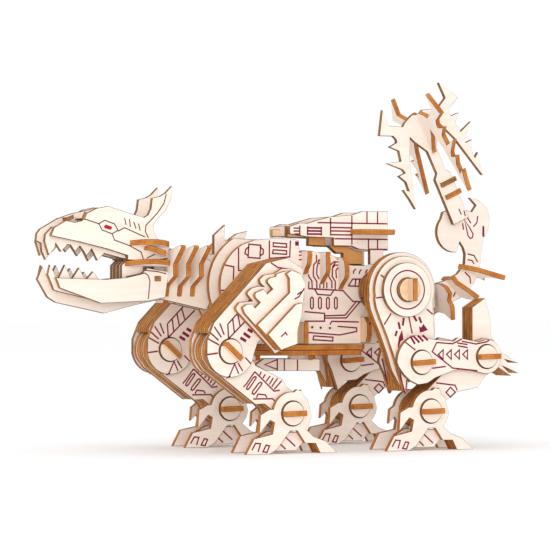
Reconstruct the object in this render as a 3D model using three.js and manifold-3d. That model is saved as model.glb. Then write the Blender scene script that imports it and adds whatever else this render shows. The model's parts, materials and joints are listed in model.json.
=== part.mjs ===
// A robot beast from a laser-cut plywood kit: flat sheets that slot together, with limbs that turn on keyed
// round pins.
// Millimetres, +Z up. The nose points along -X and the beast's left side faces -Y.
import * as THREE from "three";
import { mergeVertices } from "three/addons/utils/BufferGeometryUtils.js";
import Module from "manifold-3d";

const wasm = await Module();
wasm.setup();

// Driving dimensions
const SHEET = 3; // plywood thickness
const GAP = 0.3; // play between neighbouring sheets
const SLOT = SHEET + 2 * GAP; // width of a slot that takes one sheet
const SOLE_LEVEL = 3.5; // height of the soles in the outlines below
const MID_X = -1.6; // middle of the whole length in the outlines below
const CORE = 18; // six sheets glued side by side
const CLEVIS = CORE / 2 + GAP + SHEET / 2; // limb centre to the middle of a clevis plate
const PIN_R = 6.8;
const HOLE_R = 7.15;
const PIN_HALF = 13.6; // limb centre to a pin's disc face
const KEY_PROUD = 4; // how far a key stands out of its disc
const HIP_KEY_PROUD = 6.4;
const KEY_WIDTH = 13;
const ROUND = 16; // sides of a round
const RING_ROUND = 32; // sides of the wide ring at the hip
const TORSO_Y = 16;
const CHEEK_Y = 10;
const CANNON_Y = 12;
const FRONT_LEG_Y = 41.6;
const HIND_LEG_Y = 43.7;

// Joint axes, [x, z]
const SHOULDER = [-20, 97];
const ELBOW = [-54, 61];
const WRIST = [-15.6, 26];
const HIP = [56.6, 95.5];
const KNEE = [65.8, 54];
const HOCK = [109, 57];
const ANKLE = [71.8, 26];

const FACE = 0xf3e3c6;
const BURNT = 0x9a5a22;

// Geometry and solids

function toSolid(geometry) {
  const bare = geometry.clone();
  bare.deleteAttribute("normal");
  bare.deleteAttribute("uv");
  const merged = mergeVertices(bare, 1e-4);
  const mesh = new wasm.Mesh({
    numProp: 3,
    vertProperties: new Float32Array(merged.attributes.position.array),
    triVerts: new Uint32Array(merged.index.array),
  });
  return new wasm.Manifold(mesh);
}

function toGeometry(solid) {
  const mesh = solid.getMesh();
  const geometry = new THREE.BufferGeometry();
  geometry.setAttribute("position", new THREE.BufferAttribute(mesh.vertProperties, 3));
  geometry.setIndex(new THREE.BufferAttribute(mesh.triVerts, 1));
  geometry.computeVertexNormals();
  return geometry;
}

function box(x0, x1, y0, y1, z0, z1) {
  const geometry = new THREE.BoxGeometry(x1 - x0, y1 - y0, z1 - z0);
  geometry.translate((x0 + x1) / 2, (y0 + y1) / 2, (z0 + z1) / 2);
  return toSolid(geometry);
}

// A round bar along Y.
function bar([x, z], radius, y0, y1, sides = ROUND) {
  const geometry = new THREE.CylinderGeometry(radius, radius, y1 - y0, sides);
  geometry.translate(x, (y0 + y1) / 2, z);
  return toSolid(geometry);
}

function arc([cx, cz], radius, fromDeg, toDeg, steps) {
  const points = [];
  for (let i = 0; i <= steps; i += 1) {
    const angle = ((fromDeg + ((toDeg - fromDeg) * i) / steps) * Math.PI) / 180;
    points.push([cx + radius * Math.cos(angle), cz + radius * Math.sin(angle)]);
  }
  return points;
}

function sheetGeometry(points, thickness) {
  const shape = new THREE.Shape(points.map(([a, b]) => new THREE.Vector2(a, b)));
  const geometry = new THREE.ExtrudeGeometry(shape, { depth: thickness, bevelEnabled: false });
  geometry.translate(0, 0, -thickness / 2);
  return geometry;
}

// A sheet that lies along the beast: outline in [x, z], middle at y.
function sidePlate(points, y, thickness = SHEET) {
  const geometry = sheetGeometry(points, thickness);
  geometry.rotateX(Math.PI / 2);
  geometry.translate(0, y, 0);
  return toSolid(geometry);
}

// A sheet across the beast: outline in [u, v], with v across (Y). It lies on a plane through [x, z], where u
// runs at tiltDeg above +X.
function tiltedPlate(points, [x, z], tiltDeg, thickness = SHEET) {
  const geometry = sheetGeometry(points, thickness);
  geometry.rotateY((-tiltDeg * Math.PI) / 180);
  geometry.translate(x, 0, z);
  return toSolid(geometry);
}

// A level sheet: outline in [x, y].
function levelPlate(points, z, thickness = SHEET) {
  return tiltedPlate(points, [0, z], 0, thickness);
}

function mirrored(half) {
  const other = half.map(([a, b]) => [a, -b]).reverse();
  return half.concat(other.filter(([, b]) => b !== 0));
}

function shifted(points, [dx, dz]) {
  return points.map(([x, z]) => [x + dx, z + dz]);
}

// Meshes

const beast = new THREE.Group();
beast.position.set(-MID_X, 0, -SOLE_LEVEL);

const faceMaterial = () => new THREE.MeshStandardMaterial({ color: FACE, roughness: 0.75, metalness: 0 });
const burntMaterial = () => new THREE.MeshStandardMaterial({ color: BURNT, roughness: 0.8, metalness: 0 });

function add(name, solid, material = faceMaterial()) {
  const mesh = new THREE.Mesh(toGeometry(solid), material);
  mesh.name = name;
  beast.add(mesh);
}

// Outlines of the head, [x, z]

const CHEEK = [
  [-144, 125], [-140, 131], [-128, 138], [-112, 142], [-98, 138], [-87, 136], [-84, 140], [-83, 147],
  [-78, 149], [-71, 154], [-72, 144], [-77, 137], [-83, 131], [-82, 124], [-74, 122], [-74, 112],
  [-98, 112], [-100, 115], [-103, 110], [-107, 117], [-112, 111], [-117, 119], [-122, 114],
  [-126, 121], [-133, 115], [-137, 124],
];
const JAW = [
  [-144, 103], [-143, 109], [-139, 101], [-137, 101], [-134, 109], [-129, 101], [-126, 108], [-121, 101],
  [-117, 106], [-112, 101], [-99, 102], [-89, 105], [-87, 108], [-74, 108], [-75, 92], [-113, 87],
  [-138, 95],
];
const SNOUT = [
  [-150, 122], [-148, 128], [-138, 134], [-130, 137], [-113, 141], [-99, 137], [-86, 131], [-86, 116],
  [-98, 116], [-100, 119], [-140, 122], [-144, 112], [-147, 121],
];
const BRIDGE_Z = 110.1;
const CROWN_Z = 121;
const JAW_CROSS_Z = 102;
const JAW_CROSS_MEET = -81; // where the jaw's cross sheet laps the spine
const SKULL_TAB = [-98, -91];
const JAW_TAB = [-87, -80];
const NECK_END = -94;
const CROSS_TAB = [-82, -78];

function addHead() {
  const crown = [[-97, 0], [-97, 13], [-91, 18], [-78, 18], [-74, 14], [-74, 0]];
  const bridgeHalf = [[-99, 0], [-99, 12], [-95, 17], [-78, 18], [-74, 15], [-74, 0]];
  const crossIn = CHEEK_Y - SHEET / 2 - GAP;
  const crossOut = CHEEK_Y + SHEET / 2;
  const [tabFront, tabRear] = CROSS_TAB;
  const crossHalf = [
    [-88, 0], [-88, crossIn], [tabFront, crossIn], [tabFront, crossOut], [tabRear, crossOut],
    [tabRear, crossIn],
    [-75, crossIn], [-75, 0],
  ];
  const crownSlot = box(-97 - GAP, -60, -30, 30, CROWN_Z - SLOT / 2, CROWN_Z + SLOT / 2);
  const crossZ = [JAW_CROSS_Z - SLOT / 2, JAW_CROSS_Z + SLOT / 2];
  const crossHole = box(tabFront - GAP, tabRear + GAP, -30, 30, ...crossZ);
  const neckSlot = box(NECK_END - GAP, -60, -SLOT / 2, SLOT / 2, 106, 114);
  let bridge = levelPlate(mirrored(bridgeHalf), BRIDGE_Z).subtract(neckSlot);
  for (const [side, word] of [[-1, "left"], [1, "right"]]) {
    const y = side * CHEEK_Y;
    const tab = ([x0, x1], z0, z1) => box(x0, x1, y - SHEET / 2, y + SHEET / 2, z0, z1);
    for (const [x0, x1] of [SKULL_TAB, JAW_TAB]) {
      bridge = bridge.subtract(box(x0 - GAP, x1 + GAP, y - SLOT / 2, y + SLOT / 2, 106, 114));
    }
    const cheek = sidePlate(CHEEK, y).add(tab(SKULL_TAB, BRIDGE_Z - SHEET / 2, 114));
    add(`skull_${word}`, cheek.subtract(crownSlot));
    const jaw = sidePlate(JAW, y).add(tab(JAW_TAB, 104, BRIDGE_Z + SHEET / 2));
    add(`jaw_${word}`, jaw.subtract(crossHole));
  }
  add("skull_core", sidePlate(SNOUT, 0).subtract(crownSlot));
  add("head_crown", levelPlate(mirrored(crown), CROWN_Z), burntMaterial());
  add("head_bridge", bridge, burntMaterial());
  const crossSlot = box(JAW_CROSS_MEET - GAP, -70, -SLOT / 2, SLOT / 2, 90, 110);
  add("jaw_cross", levelPlate(mirrored(crossHalf), JAW_CROSS_Z).subtract(crossSlot), burntMaterial());
}

// The neck's collars and the rib stand across the beast: half outlines in [z, y]

const COLLAR_X = [-72, -64, -56];
const COLLAR_SLOT_TOP = 107;
const COLLAR = [
  [87, 0], [87, 8], [97, 9], [103, 19], [109, 19], [118, 31], [119.5, 29], [117, 12], [117, 0],
];
const RIB_FRONT_X = 9.5;
const RIB_MEET = 107;
const RIB = [
  [107, 0], [107, 12], [104, 13], [104.5, 20.5], [107, 21.6], [110, 24.7], [116, 26], [118, 25.5],
  [118.5, 17],
  [127, 15], [130, 8], [130, 0],
];

// The spine runs from the chin, with its fang, to the rump.
const SPINE = [
  [-88, 87], [-108, 82], [-137, 88], [-142, 91], [-148, 101], [-145, 108], [-141, 100], [-126, 98],
  [NECK_END, 97], [NECK_END, 115], [-40, 116], [-40, 127], [-33, 134], [-34, 124], [-31, 121], [-30, 125],
  [-25, 128], [-19, 129], [-22, 120], [0, 104], [78, 106], [96, 102], [104, 98], [106, 86], [90, 76],
  [50, 70], [-28, 68], [-42, 84], [-52, 94],
];

function crossPlate(half, x) {
  return tiltedPlate(mirrored(half), [x, 0], 90);
}

function addNeckAndSpine() {
  let spine = sidePlate(SPINE, 0);
  COLLAR_X.forEach((x, i) => {
    const slot = box(x - 5, x + 5, -SLOT / 2, SLOT / 2, 80, COLLAR_SLOT_TOP + GAP);
    add(`neck_collar_${i + 1}`, crossPlate(COLLAR, x).subtract(slot));
    spine = spine.subtract(box(x - SLOT / 2, x + SLOT / 2, -5, 5, COLLAR_SLOT_TOP - GAP, 130));
  });
  const jawNotch = [JAW_CROSS_Z - SLOT / 2, JAW_CROSS_Z + SLOT / 2];
  spine = spine.subtract(box(NECK_END - 1, JAW_CROSS_MEET + GAP, -5, 5, ...jawNotch));
  spine = spine.subtract(bar(SHOULDER, HOLE_R, -5, 5)).subtract(bar(HIP, HOLE_R, -5, 5));
  add("spine_plate", spine);
}

// Torso, belly and cannon

const BELLY_Z = [58.3, 64];
const BELLY = [[-30, 0], [-30, 16], [-24, 24], [44, 24], [50, 16], [50, 0]];
const TAB_X = [[-16, -4], [24, 36]];
const TORSO = [
  [-30, 64.3], ...arc([-17, 98], 26.5, 236, 118, 9), [-22, 124], [-10, 125], [2, 125], [6.5, 124],
  [6.8, 119],
  [17, 117.8], [25, 116.8], [31, 113.4], [36, 113], [42, 110], [60, 110], [76, 107], [84, 94], [78, 78],
  [56, 64.3],
];
const CANNON = [
  [0, 128], [0, 133], [8, 134.5], [14, 134], [19, 136], [29, 138], [43, 139], [48, 141.5], [67, 142],
  [67, 119],
  [64, 119], [64, 110.4], [53, 110.4], [53, 119], [48, 119], [43, 121], [28, 121], [28, 126], [14, 126],
  [14, 128],
];
const WING = [[35, 0], [35, 18], [39, 24], [66, 24], [66, 0]];
const WING_Z = 129.5;

function addTorso() {
  const ribSlot = box(RIB_FRONT_X - SLOT / 2, RIB_FRONT_X + SLOT / 2, -30, 30, RIB_MEET - GAP, 140);
  let belly = levelPlate(mirrored(BELLY), (BELLY_Z[0] + BELLY_Z[1]) / 2, BELLY_Z[1] - BELLY_Z[0]);
  let rib = crossPlate(RIB, RIB_FRONT_X);
  for (const [side, word] of [[-1, "left"], [1, "right"]]) {
    const y = side * TORSO_Y;
    let plate = sidePlate(TORSO, y).subtract(ribSlot);
    for (const [x0, x1] of TAB_X) {
      plate = plate.add(box(x0, x1, y - SHEET / 2, y + SHEET / 2, BELLY_Z[0], 66));
      belly = belly.subtract(box(x0 - GAP, x1 + GAP, y - SLOT / 2, y + SLOT / 2, 50, 70));
    }
    plate = plate.subtract(bar(SHOULDER, HOLE_R, -30, 30)).subtract(bar(HIP, HOLE_R, -30, 30));
    add(`torso_${word}`, plate);
    rib = rib.subtract(box(0, 20, y - SLOT / 2, y + SLOT / 2, 90, RIB_MEET));
    const cannonY = side * CANNON_Y;
    rib = rib.subtract(box(0, 20, cannonY - SLOT / 2, cannonY + SLOT / 2, 128 - GAP, 140));
  }
  add("belly_plate", belly, burntMaterial());
  add("rib_front", rib);
  let wing = levelPlate(mirrored(WING), WING_Z);
  const wingSlot = box(50, 90, -30, 30, WING_Z - SLOT / 2, WING_Z + SLOT / 2);
  for (const [side, word] of [[-1, "left"], [1, "right"]]) {
    const y = side * CANNON_Y;
    add(`cannon_${word}`, sidePlate(CANNON, y).subtract(wingSlot));
    wing = wing.subtract(box(20, 50 + GAP, y - SLOT / 2, y + SLOT / 2, 120, 140));
  }
  add("cannon_wing", wing, burntMaterial());
}

// Axles through the torso. A key at each end holds the caps.

const SHOULDER_SPACER_R = 11;
const HIP_SPACER_R = 12;
const HIP_RING_R = 15.5;

function keyBar([x, z], turnDeg, y0, y1) {
  const geometry = new THREE.BoxGeometry(KEY_WIDTH, y1 - y0, SHEET);
  geometry.rotateY((-turnDeg * Math.PI) / 180);
  geometry.translate(x, (y0 + y1) / 2, z);
  return toSolid(geometry);
}

function addAxles() {
  const upperArmInside = FRONT_LEG_Y - CLEVIS - SHEET / 2;
  const upperArmOutside = FRONT_LEG_Y + CLEVIS + SHEET / 2;
  const torsoOutside = TORSO_Y + SHEET / 2;
  let shoulderAxle = bar(SHOULDER, PIN_R, -upperArmOutside, upperArmOutside);
  const thighInside = HIND_LEG_Y - CORE / 2;
  const thighOutside = HIND_LEG_Y + CORE / 2;
  const discFace = thighOutside + GAP + 2 * SHEET;
  let hipAxle = bar(HIP, PIN_R, -discFace, discFace);
  for (const side of [-1, 1]) {
    const ends = (a, b) => [Math.min(side * a, side * b), Math.max(side * a, side * b)];
    const armSpacer = bar(SHOULDER, SHOULDER_SPACER_R, ...ends(torsoOutside + GAP, upperArmInside - GAP));
    shoulderAxle = shoulderAxle.add(armSpacer);
    hipAxle = hipAxle.add(bar(HIP, HIP_SPACER_R, ...ends(torsoOutside + GAP, thighInside - GAP)));
    const ringEnds = ends(thighOutside + GAP, thighOutside + GAP + SHEET);
    hipAxle = hipAxle.add(bar(HIP, HIP_RING_R, ...ringEnds, RING_ROUND));
    hipAxle = hipAxle.add(keyBar(HIP, 90, ...ends(discFace - 1, discFace + HIP_KEY_PROUD)));
  }
  add("shoulder_axle", shoulderAxle, burntMaterial());
  add("hip_axle", hipAxle, burntMaterial());
}

// Tail

const TAIL_STEM = [
  [82, 92], [92, 101], [104, 99], [115, 102], [123, 106], [128, 112], [128.4, 118], [127, 122],
  [124.5, 125.3],
  ...arc([121, 131], 12, 275, 140, 8), [113, 143], [122, 146], [133, 143.5], [136, 147.5], [131.5, 152],
  [138, 150.5], [143.5, 146], [145.5, 140], [144.5, 133], [141, 127], [139.5, 118], [138.5, 108],
  [135, 101],
  [128, 93], [118, 88], [104, 84], [86, 82],
];
const STEM_Y = SHEET + GAP;
const ARROW_ORIGIN = [125.7, 133.2];
const ARROW_TILT = 115; // the arrow's own length runs at this angle above +X
const ARROW_HEAD = [
  [52, 3.6], [60, 8.8], [64.5, 11], [52, 17], [24, 25], [30.7, 26.7], [38, 28.8], [35.6, 25], [41.3, 24.8],
  [46.5, 28.5], [46.6, 23], [49, 23.6], [56.6, 32], [53.9, 22.5], [60, 21.3], [64.8, 27], [65.2, 20.5],
  [69.6, 21.1], [73.4, 29.6], [86.5, 21.2], [76.5, 21.4], [74.6, 17.5], [72.1, 12.8], [74, 10], [76, 4],
  [75.2, 0],
];
const ARROW_SHAFT = [[0, 5.6], [34.5, 5.9], [37.5, 3.5]];
const ARROW_MEET = 60;
const TAIL_COLLAR = [[-10, 0], [-10, 7], [-6, 6], [0, 12], [6.5, 17], [7, 8], [5, 0]];
const TAIL_FAN = [[-11, 0], [-7, 5], [-2, 9], [4, 10], [9, 11], [15.6, 12], [11, 6], [9, 0]];

function addTail() {
  let stem = sidePlate(TAIL_STEM, STEM_Y);
  const crossSheets = [
    ["tail_collar", TAIL_COLLAR, [122, 96.2], -47],
    ["tail_fan", TAIL_FAN, [133, 107.6], -15.5],
  ];
  for (const [name, outline, at, tilt] of crossSheets) {
    const slot = new THREE.BoxGeometry(60, 12, SLOT);
    slot.translate(30, 0, 0);
    slot.rotateY((-tilt * Math.PI) / 180);
    slot.translate(at[0], STEM_Y, at[1]);
    stem = stem.subtract(toSolid(slot));
    const mate = new THREE.BoxGeometry(60, SLOT, 12);
    mate.translate(-30 + GAP, 0, 0);
    mate.rotateY((-tilt * Math.PI) / 180);
    mate.translate(at[0], STEM_Y, at[1]);
    add(name, tiltedPlate(mirrored(outline), at, tilt).subtract(toSolid(mate)), burntMaterial());
  }
  add("tail_stem", stem);

  const along = (points) => {
    const angle = ((ARROW_TILT - 90) * Math.PI) / 180;
    return points.map(([q, p]) => [
      ARROW_ORIGIN[0] + p * Math.cos(angle) - q * Math.sin(angle),
      ARROW_ORIGIN[1] + p * Math.sin(angle) + q * Math.cos(angle),
    ]);
  };
  const lower = new THREE.BoxGeometry(ARROW_MEET + 20 + GAP, SLOT, 14);
  lower.translate((ARROW_MEET - 20 + GAP) / 2, 0, 0);
  const upper = new THREE.BoxGeometry(60, 14, SLOT);
  upper.translate(ARROW_MEET - GAP + 30, 0, 0);
  for (const geometry of [lower, upper]) {
    geometry.rotateY((-ARROW_TILT * Math.PI) / 180);
    geometry.translate(ARROW_ORIGIN[0], 0, ARROW_ORIGIN[1]);
  }
  const arrow = mirrored([...ARROW_SHAFT, ...ARROW_HEAD]);
  add("tail_arrow_side", sidePlate(along(arrow), 0).subtract(toSolid(upper)));
  const cross = mirrored([[50, 0], [50, 3.6], ...ARROW_HEAD]);
  add("tail_arrow_cross", tiltedPlate(cross, ARROW_ORIGIN, ARROW_TILT).subtract(toSolid(lower)));
}

// Limbs

// Both plates of a foot have the same ring and heel. They differ in the toe and in the spur above it.
const ANKLE_RING = [
  ...arc([0, 0], 12, 38, 56, 2), [5.8, 13.2], [4.6, 12.8], [2.8, 13.4], [0.9, 12], ...arc([0, 0],
  12.2, 98, 168, 4),
];
const SPUR_AND_TOE_NEAR = [
  [-14.4, 2.4], [-20, -0.5], [-20.6, -11], [-14, -3.6], [-11.3, -5], [-12.5, -11.3], [-24, -13.8],
  [-29, -22.5],
];
const SPUR_AND_TOE_FAR = [
  [-14.9, 0.5], [-15.6, -7.7], [-11.8, -4], [-10.6, -6], [-11.5, -11], [-22.1, -13], [-27.1, -22.5],
];
const ARCH_AND_HEEL = [
  [-14.4, -22.5], [-9.8, -20], [-4.1, -13], [-1.6, -9.8], [2.9, -9.8], [7.8, -16.8], [14.3, -17],
  [17.2, -22.5],
  [28, -22.5], [21, -16], [13, -13], ...arc([0, 0], 12, 313, 355, 3),
];
const ARCH_WEB = [[-13, -21], [-13, -14], [-7, -10.6], [6, -10.6], [8.8, -15.5], [3.5, -21]];
const HEEL_PAD = [[14.3, -17], [17.2, -22.5], [23, -22.5], [20, -17]];
const HEEL_PAD_THICKNESS = 8;
const LET_IN = 0.3; // how far a sheet glued on another is let into it

function pin(at, turnDeg, y) {
  return bar(at, PIN_R, y - PIN_HALF, y + PIN_HALF).add(
    keyBar(at, turnDeg, y - PIN_HALF - KEY_PROUD, y + PIN_HALF + KEY_PROUD),
  );
}

function addFoot(prefix, pinName, at, side, legY) {
  const y = side * legY;
  for (const [offset, word] of [[CLEVIS, "outer"], [-CLEVIS, "inner"]]) {
    const plateY = y + side * offset;
    const inwards = plateY < y ? 1 : -1;
    const spurAndToe = inwards > 0 ? SPUR_AND_TOE_NEAR : SPUR_AND_TOE_FAR;
    const outline = [...ANKLE_RING, ...spurAndToe, ...ARCH_AND_HEEL];
    let plate = sidePlate(shifted(outline, at), plateY).subtract(bar(at, HOLE_R, y - 20, y + 20));
    plate = plate.add(sidePlate(shifted(ARCH_WEB, at), plateY + inwards * (SHEET - LET_IN)));
    if (inwards > 0) {
      const padMiddle = plateY + (SHEET + HEEL_PAD_THICKNESS) / 2 - LET_IN;
      plate = plate.add(sidePlate(shifted(HEEL_PAD, at), padMiddle, HEEL_PAD_THICKNESS));
    }
    add(`${prefix}_foot_${word}`, plate);
  }
  add(`${prefix}_${pinName}`, pin(at, 2, y), burntMaterial());
}

const UPPER_ARM = [
  [-68, 68], [-60.5, 76], [-32, 110.5], [-19, 113], [-9, 107], [-8, 90], [-21, 76], [-37, 66],
  ...arc(ELBOW, 14.5, -5, -170, 8),
];
const UPPER_ARM_CORE = [
  [-57, 79.5], [-32, 110], [-19, 113], [-9, 107], [-8, 90], [-21, 76], [-34, 68],
  ...arc(ELBOW, 15.6, 15, 95, 6),
];
const FOREARM = [
  [-63, 50.5], [-37, 31.2], [-31.5, 31.5], [-27.6, 28.4], [-24.5, 22.5], ...arc(WRIST, 9.5, 215, 370, 7),
  [-7.6, 34], [-18, 41], [-20, 45], [-37, 53], ...arc(ELBOW, 14, -10, 200, 12),
];
const ARMOR = [
  [-52, 83.5], [-52.3, 85.3], [-50.2, 88], [-42, 88.8], [-45.5, 92.8], [-44.6, 94.4], [-42, 96],
  [-34.6, 96.6],
  [-37.8, 100.8], [-35.2, 103.2], [-29.5, 104.8], [-24, 107], [-18, 107], [-12, 104], [-8.5, 97],
  [-11.5, 81.5],
  [-14.5, 63.5], [-22.5, 63.5], [-27, 58.8],
];
const FIST = [
  [-48.4, 82.1], [-49.6, 85.3], [-46.9, 87], [-43.4, 87.2], [-42, 84.9], [-38.7, 88], [-42.2, 92.2],
  [-41.3, 93.6], [-36.6, 95.4], [-34.4, 92.7], [-31, 95.5], [-34.4, 99.2], [-34.1, 100.8], [-29.2, 102.4],
  [-28.6, 104], [-23.2, 105.7], [-20.3, 105.7], [-14.9, 104], [-11.9, 98], [-14.4, 81.5], [-17.2, 72],
  [-17.2, 65], [-28.6, 61.5],
];
const UPPER_STEP = [
  [-42, 75.6], [-22, 93.4], [-22.2, 101.5], [-24, 104], [-20.9, 106], [-14.9, 104], [-11.9, 98], [-14.4, 81.5],
  [-17.2, 72], [-17.2, 65], [-28.6, 61.6],
];
const LOWER_STEP = [
  [-36.9, 70.2], [-19.6, 87], [-15.5, 88], [-15.9, 81.5], [-18.7, 72], [-18.7, 65], [-28.6, 61.6],
];
const ARMOR_Y = FRONT_LEG_Y + CLEVIS + SHEET + GAP;

function addFrontLeg(side, word) {
  const prefix = `front_${word}`;
  const y = side * FRONT_LEG_Y;
  const outerY = y + side * CLEVIS;
  const innerY = y - side * CLEVIS;
  const elbowHole = bar(ELBOW, HOLE_R, y - 20, y + 20);
  const shoulderHole = bar(SHOULDER, HOLE_R, y - 30, y + 30);
  add(`${prefix}_upper_arm_outer`, sidePlate(UPPER_ARM, outerY).subtract(elbowHole).subtract(shoulderHole));
  const inner = sidePlate(UPPER_ARM, innerY);
  const core = sidePlate(UPPER_ARM_CORE, y - side * GAP / 2, CORE + GAP);
  add(`${prefix}_upper_arm_inner`, inner.add(core).subtract(elbowHole).subtract(shoulderHole));
  const wristHole = bar(WRIST, HOLE_R, y - 20, y + 20);
  add(`${prefix}_forearm`, sidePlate(FOREARM, y, CORE).subtract(elbowHole).subtract(wristHole));
  add(`${prefix}_elbow_pin`, pin(ELBOW, -42, y), burntMaterial());
  const top = ARMOR_Y + SHEET / 2;
  let armor = sidePlate(ARMOR, side * ARMOR_Y);
  [FIST, UPPER_STEP, LOWER_STEP].forEach((outline, i) => {
    const middle = top + i * SHEET + (SHEET - LET_IN) / 2;
    armor = armor.add(sidePlate(outline, side * middle, SHEET + LET_IN));
  });
  add(`${prefix}_shoulder_armor`, armor);
  addFoot(prefix, "wrist_pin", WRIST, side, FRONT_LEG_Y);
}

const THIGH = [
  ...arc(HIP, 19.3, -20, 190, 14), [39.5, 82], [44.8, 70], [48.7, 60], [52, 50], [55, 40], [57, 34],
  [59, 41],
  ...arc(KNEE, 11, 230, 360, 6), [76, 72],
];
const SHANK_TOP = [
  [69.7, 42], [74.7, 45], [86.7, 49], [93.7, 50], ...arc(HOCK, 10, 262, 450, 8), [103.5, 65.5], [89.7, 68],
  [86.7, 66], [74.7, 67], ...arc(KNEE, 16, 105, 180, 6),
];
const SHANK_OUTER = [...SHANK_TOP, [50.9, 51.5], [54.4, 47], [58.4, 43.5], [63.5, 41.2]];
const SHANK_INNER = [...SHANK_TOP, [53, 47.5], [57.1, 35.6], [62.5, 41.5]];
const METATARSUS = [
  ...arc(ANKLE, 9.5, 128, 310, 8), [82.5, 31], [90.5, 36.5], [104.5, 39], [110.5, 46], [118.5, 50.5],
  [127.5, 45.5], [120.5, 52], [132.5, 47], [122.5, 55.5], [132.5, 53], [119.5, 60], [115.5, 70], [115, 80],
  [111.5, 91], [101.8, 85.5], [101.8, 66],
];
const SPUR_HALF = 6; // the spur over the hock is on the middle four sheets only
const HOCK_RING_TOP = 67;

function addHindLeg(side, word) {
  const prefix = `hind_${word}`;
  const y = side * HIND_LEG_Y;
  const hole = (at) => bar(at, HOLE_R, y - 20, y + 20);
  add(`${prefix}_thigh`, sidePlate(THIGH, y, CORE).subtract(hole(HIP)).subtract(hole(KNEE)));
  const shankPlates = [[CLEVIS, "outer", SHANK_OUTER], [-CLEVIS, "inner", SHANK_INNER]];
  for (const [offset, layer, outline] of shankPlates) {
    const plate = sidePlate(outline, y + side * offset);
    add(`${prefix}_shank_${layer}`, plate.subtract(hole(KNEE)).subtract(hole(HOCK)));
  }
  let metatarsus = sidePlate(METATARSUS, y, CORE).subtract(hole(HOCK)).subtract(hole(ANKLE));
  for (const [y0, y1] of [[y - CORE, y - SPUR_HALF], [y + SPUR_HALF, y + CORE]]) {
    metatarsus = metatarsus.subtract(box(95, 140, y0, y1, HOCK_RING_TOP, 95));
  }
  add(`${prefix}_metatarsus`, metatarsus);
  add(`${prefix}_knee_pin`, pin(KNEE, 4, y), burntMaterial());
  add(`${prefix}_hock_pin`, pin(HOCK, 2, y), burntMaterial());
  addFoot(prefix, "ankle_pin", ANKLE, side, HIND_LEG_Y);
}

addHead();
addNeckAndSpine();
addTorso();
addAxles();
addTail();
for (const [side, word] of [[-1, "left"], [1, "right"]]) {
  addFrontLeg(side, word);
  addHindLeg(side, word);
}

export default beast;
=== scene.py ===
"""A robot beast from a laser-cut plywood kit: flat sheets with browned edges and engraved lines, slotted
together, with limbs that turn on keyed round pins. Outlines are in millimetres, (x, z) for a sheet along the
beast."""
import json
import math
import random

import bmesh
import bpy
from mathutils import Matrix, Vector
from mathutils.geometry import tessellate_polygon


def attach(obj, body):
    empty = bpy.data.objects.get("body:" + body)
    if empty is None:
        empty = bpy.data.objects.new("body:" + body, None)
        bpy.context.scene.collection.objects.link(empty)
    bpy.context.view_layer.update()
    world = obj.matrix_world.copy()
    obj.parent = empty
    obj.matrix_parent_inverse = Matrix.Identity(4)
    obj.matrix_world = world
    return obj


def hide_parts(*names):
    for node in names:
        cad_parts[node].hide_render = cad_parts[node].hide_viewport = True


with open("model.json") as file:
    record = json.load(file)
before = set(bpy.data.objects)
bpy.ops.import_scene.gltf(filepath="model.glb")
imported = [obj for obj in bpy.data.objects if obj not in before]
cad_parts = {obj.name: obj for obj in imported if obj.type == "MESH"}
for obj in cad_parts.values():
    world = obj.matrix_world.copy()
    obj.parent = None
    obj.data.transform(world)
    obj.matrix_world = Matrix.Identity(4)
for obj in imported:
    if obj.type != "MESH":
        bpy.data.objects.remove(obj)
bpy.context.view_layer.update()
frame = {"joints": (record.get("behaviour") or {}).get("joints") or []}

# The outlines' own origin, found from the hip joint
HIP = (56.6, 95.5)
JOINT_AT = {joint["name"]: [1000 * value for value in joint["pos_m"]] for joint in frame["joints"]}
ORIGIN_X = JOINT_AT["hind_left_hip"][0] - HIP[0]
ORIGIN_Z = JOINT_AT["hind_left_hip"][2] - HIP[1]
FRONT_LEG_Y = JOINT_AT["front_right_shoulder"][1]
HIND_LEG_Y = JOINT_AT["hind_right_hip"][1]

SHOULDER = (-20, 97)
ELBOW = (-54, 61)
WRIST = (-15.6, 26)
KNEE = (65.8, 54)
HOCK = (109, 57)
ANKLE = (71.8, 26)

SHEET = 3.0
HALF_SHEET = SHEET / 2
GLUE_GAP = 0.22  # dark seam between glued sheets
RIM = 0.24  # width of the scorched corner between a face and a cut edge
PIN_R = 6.8
PIN_SHEETS = 9
HOLE_R = 7.1
ROUND_STEPS = 32  # corners of a pin or a pin's hole
LIMB_SHEETS = 6  # sheets glued together in a limb's middle part
CORE_HALF = 9.0  # half the thickness of those sheets
CLEVIS_IN = 9.3  # a limb's outer sheets lie between these two distances from its middle
CLEVIS_OUT = 12.3
CLEVIS_Y = (CLEVIS_IN + CLEVIS_OUT) / 2
PIN_FACE = 13.6  # half the length of a pin's round part
KEY_END = 17.6  # half the length of its key
KEY_HALF_WIDTH = 6.5
TORSO_Y = 16
CHEEK_Y = 10
TOOTH_Y = 6.9
CANNON_Y = 12
INK_DEPTH = 0.05
INK_WIDTH = 0.85
HEAD_INK_WIDTH = 0.62

draw = random.Random(7)
SIDES = ((-1, "left"), (1, "right"))


# ---------------------------------------------------------------- outlines

def pts(text):
    """The points of a text such as "1,2 3,4"."""
    return [tuple(float(value) for value in pair.split(",")) for pair in text.split()]


def around(centre, radius, degrees):
    """The point at a distance from a centre, in a direction."""
    turn = math.radians(degrees)
    return (centre[0] + radius * math.cos(turn), centre[1] + radius * math.sin(turn))


def arc(centre, radius, start, stop, steps=14):
    return [around(centre, radius, start + (stop - start) * i / steps) for i in range(steps + 1)]


def circle(centre, radius, steps=40):
    return arc(centre, radius, 0, 360, steps)[:-1]


def mirrored(half):
    """A half outline in (along, across), closed by its mirror image in across."""
    return half + [(a, -b) for a, b in reversed(half) if b != 0]


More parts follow.
